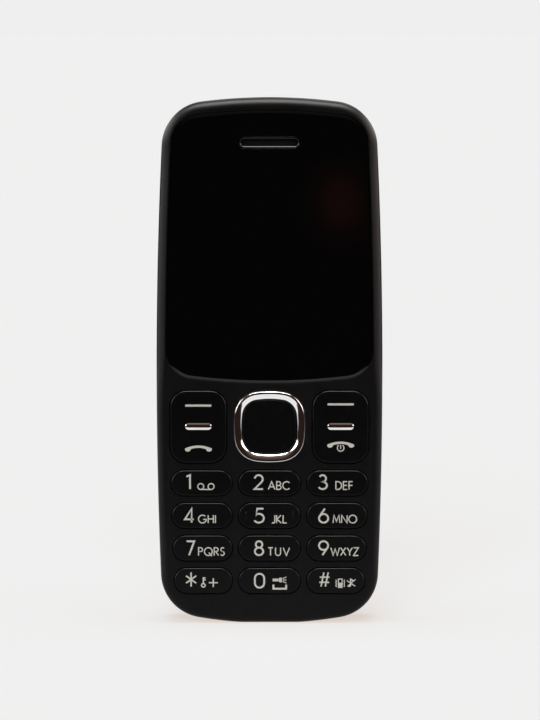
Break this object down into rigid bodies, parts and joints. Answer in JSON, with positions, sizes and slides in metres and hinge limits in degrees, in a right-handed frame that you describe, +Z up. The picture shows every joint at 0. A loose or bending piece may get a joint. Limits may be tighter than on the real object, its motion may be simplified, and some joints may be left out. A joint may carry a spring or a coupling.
{
  "type": "feature phone",
  "caption": "Bar-shaped feature phone: flush display window over a number keypad, four-way ring and rocker keys, with a snap-off back cover and a lift-out battery",
  "frame": {"origin": "centre of the bounding box on the plane that the phone stands on, under its flat bottom edge", "axes": "+X runs to the right of someone who faces the screen, +Y from the screen to the back cover, +Z up the phone"},
  "size_m": [0.046, 0.014, 0.107],
  "materials": {
    "housing": "fine-grained matte black",
    "key": "satin black",
    "window": "polished, back-printed black",
    "plating": "bright chrome plating",
    "adhesive": "black foam tape",
    "display": "dark polarised panel",
    "tray": "white moulded",
    "flex": "amber film",
    "silicone": "translucent grey",
    "domes": "film with steel domes",
    "board": "solder-masked green",
    "steel": "stamped bright steel",
    "screw": "blackened steel",
    "cell": "dark wrapped cell",
    "cap": "black moulded",
    "contact": "gold-plated",
    "mesh": "fine black mesh",
    "speaker": "black moulded",
    "weight": "sintered heavy metal",
    "lens": "clear moulded lens",
    "lamp": "phosphor-filled lamp",
    "capsule": "drawn capsule",
    "carrier": "off-white moulded"
  },
  "bodies": {
    "phone_body": {"front_housing": "housing", "rear_housing": "housing", "housing_screws": "screw", "display_window": "window", "window_tape": "adhesive", "lcd_gasket": "adhesive", "lcd_panel": "display", "lcd_frame": "tray", "display_flex": "flex", "earpiece": "cap", "earpiece_mesh": "mesh", "keypad_mat": "silicone", "dome_sheet": "domes", "main_board": "board", "shield_cans": "steel", "sim_holder_left": "steel", "sim_holder_right": "steel", "memory_card_holder": "steel", "battery_connector": "cap", "battery_contacts": "contact", "loudspeaker": "speaker", "loudspeaker_gasket": "adhesive", "vibration_motor": "steel", "torch_lens": "lens", "torch_led": "lamp", "usb_shell": "steel", "usb_tongue": "cap", "headphone_jack": "cap", "microphone": "capsule", "antenna_carrier": "carrier", "antenna_strip": "contact"},
    "key_star": {"key_star": "key"},
    "key_0": {"key_0": "key"},
    "key_hash": {"key_hash": "key"},
    "key_7": {"key_7": "key"},
    "key_8": {"key_8": "key"},
    "key_9": {"key_9": "key"},
    "key_4": {"key_4": "key"},
    "key_5": {"key_5": "key"},
    "key_6": {"key_6": "key"},
    "key_1": {"key_1": "key"},
    "key_2": {"key_2": "key"},
    "key_3": {"key_3": "key"},
    "select_key": {"select_key": "key"},
    "left_rocker": {"left_rocker_key": "key", "left_rocker_trim": "plating"},
    "right_rocker": {"right_rocker_key": "key", "right_rocker_trim": "plating"},
    "nav_carrier": {"nav_carrier": "carrier"},
    "nav_ring": {"nav_ring": "plating"},
    "back_cover": {"battery_cover": "housing", "loudspeaker_mesh": "mesh"},
    "battery_pack": {"battery": "cell", "battery_end_cap": "cap"},
    "vibration_weight": {"vibration_weight": "weight"}
  },
  "joints": [
    {"name": "key_star_press", "type": "slide", "parent": "phone_body", "child": "key_star", "axis": [0, 1, 0], "range_m": [0, 0.00025], "stiffness_N_per_m": 5000, "deforming": ["keypad_mat"]},
    {"name": "key_0_press", "type": "slide", "parent": "phone_body", "child": "key_0", "axis": [0, 1, 0], "range_m": [0, 0.00025], "stiffness_N_per_m": 5000, "deforming": ["keypad_mat"]},
    {"name": "key_hash_press", "type": "slide", "parent": "phone_body", "child": "key_hash", "axis": [0, 1, 0], "range_m": [0, 0.00025], "stiffness_N_per_m": 5000, "deforming": ["keypad_mat"]},
    {"name": "key_7_press", "type": "slide", "parent": "phone_body", "child": "key_7", "axis": [0, 1, 0], "range_m": [0, 0.00025], "stiffness_N_per_m": 5000, "deforming": ["keypad_mat"]},
    {"name": "key_8_press", "type": "slide", "parent": "phone_body", "child": "key_8", "axis": [0, 1, 0], "range_m": [0, 0.00025], "stiffness_N_per_m": 5000, "deforming": ["keypad_mat"]},
    {"name": "key_9_press", "type": "slide", "parent": "phone_body", "child": "key_9", "axis": [0, 1, 0], "range_m": [0, 0.00025], "stiffness_N_per_m": 5000, "deforming": ["keypad_mat"]},
    {"name": "key_4_press", "type": "slide", "parent": "phone_body", "child": "key_4", "axis": [0, 1, 0], "range_m": [0, 0.00025], "stiffness_N_per_m": 5000, "deforming": ["keypad_mat"]},
    {"name": "key_5_press", "type": "slide", "parent": "phone_body", "child": "key_5", "axis": [0, 1, 0], "range_m": [0, 0.00025], "stiffness_N_per_m": 5000, "deforming": ["keypad_mat"]},
    {"name": "key_6_press", "type": "slide", "parent": "phone_body", "child": "key_6", "axis": [0, 1, 0], "range_m": [0, 0.00025], "stiffness_N_per_m": 5000, "deforming": ["keypad_mat"]},
    {"name": "key_1_press", "type": "slide", "parent": "phone_body", "child": "key_1", "axis": [0, 1, 0], "range_m": [0, 0.00025], "stiffness_N_per_m": 5000, "deforming": ["keypad_mat"]},
    {"name": "key_2_press", "type": "slide", "parent": "phone_body", "child": "key_2", "axis": [0, 1, 0], "range_m": [0, 0.00025], "stiffness_N_per_m": 5000, "deforming": ["keypad_mat"]},
    {"name": "key_3_press", "type": "slide", "parent": "phone_body", "child": "key_3", "axis": [0, 1, 0], "range_m": [0, 0.00025], "stiffness_N_per_m": 5000, "deforming": ["keypad_mat"]},
    {"name": "select_key_press", "type": "slide", "parent": "phone_body", "child": "select_key", "axis": [0, 1, 0], "range_m": [0, 0.00025], "stiffness_N_per_m": 5000, "deforming": ["keypad_mat"]},
    {"name": "left_rocker_tilt", "type": "hinge", "parent": "phone_body", "child": "left_rocker", "pos_m": [-0.01448, -0.00455, 0.0403], "axis": [1, 0, 0], "range_deg": [-1.8, 1.8], "stiffness_Nm_per_rad": 0.25, "deforming": ["keypad_mat"]},
    {"name": "right_rocker_tilt", "type": "hinge", "parent": "phone_body", "child": "right_rocker", "pos_m": [0.01448, -0.00455, 0.0403], "axis": [1, 0, 0], "range_deg": [-1.8, 1.8], "stiffness_Nm_per_rad": 0.25, "deforming": ["keypad_mat"]},
    {"name": "ring_up_down_tilt", "type": "hinge", "parent": "phone_body", "child": "nav_carrier", "pos_m": [0, -0.00455, 0.0403], "axis": [1, 0, 0], "range_deg": [-1.6, 1.6], "stiffness_Nm_per_rad": 0.4, "deforming": ["keypad_mat"]},
    {"name": "ring_left_right_tilt", "type": "hinge", "parent": "nav_carrier", "child": "nav_ring", "pos_m": [0, -0.00455, 0.0403], "axis": [0, 0, 1], "range_deg": [-1.6, 1.6], "stiffness_Nm_per_rad": 0.4, "deforming": ["keypad_mat"]},
    {"name": "cover_off", "type": "slide", "parent": "phone_body", "child": "back_cover", "axis": [0, 1, 0], "range_m": [0, 0.02]},
    {"name": "battery_lift", "type": "slide", "parent": "phone_body", "child": "battery_pack", "axis": [0, 1, 0], "range_m": [0, 0.01]},
    {"name": "vibration_spin", "type": "hinge", "parent": "phone_body", "child": "vibration_weight", "pos_m": [-0.0065, 0.00275, 0.091], "axis": [1, 0, 0], "continuous": true}
  ],
  "couplings": [
    {"joint": "battery_lift", "follows": "cover_off", "ratio": 0.5}
  ]
}
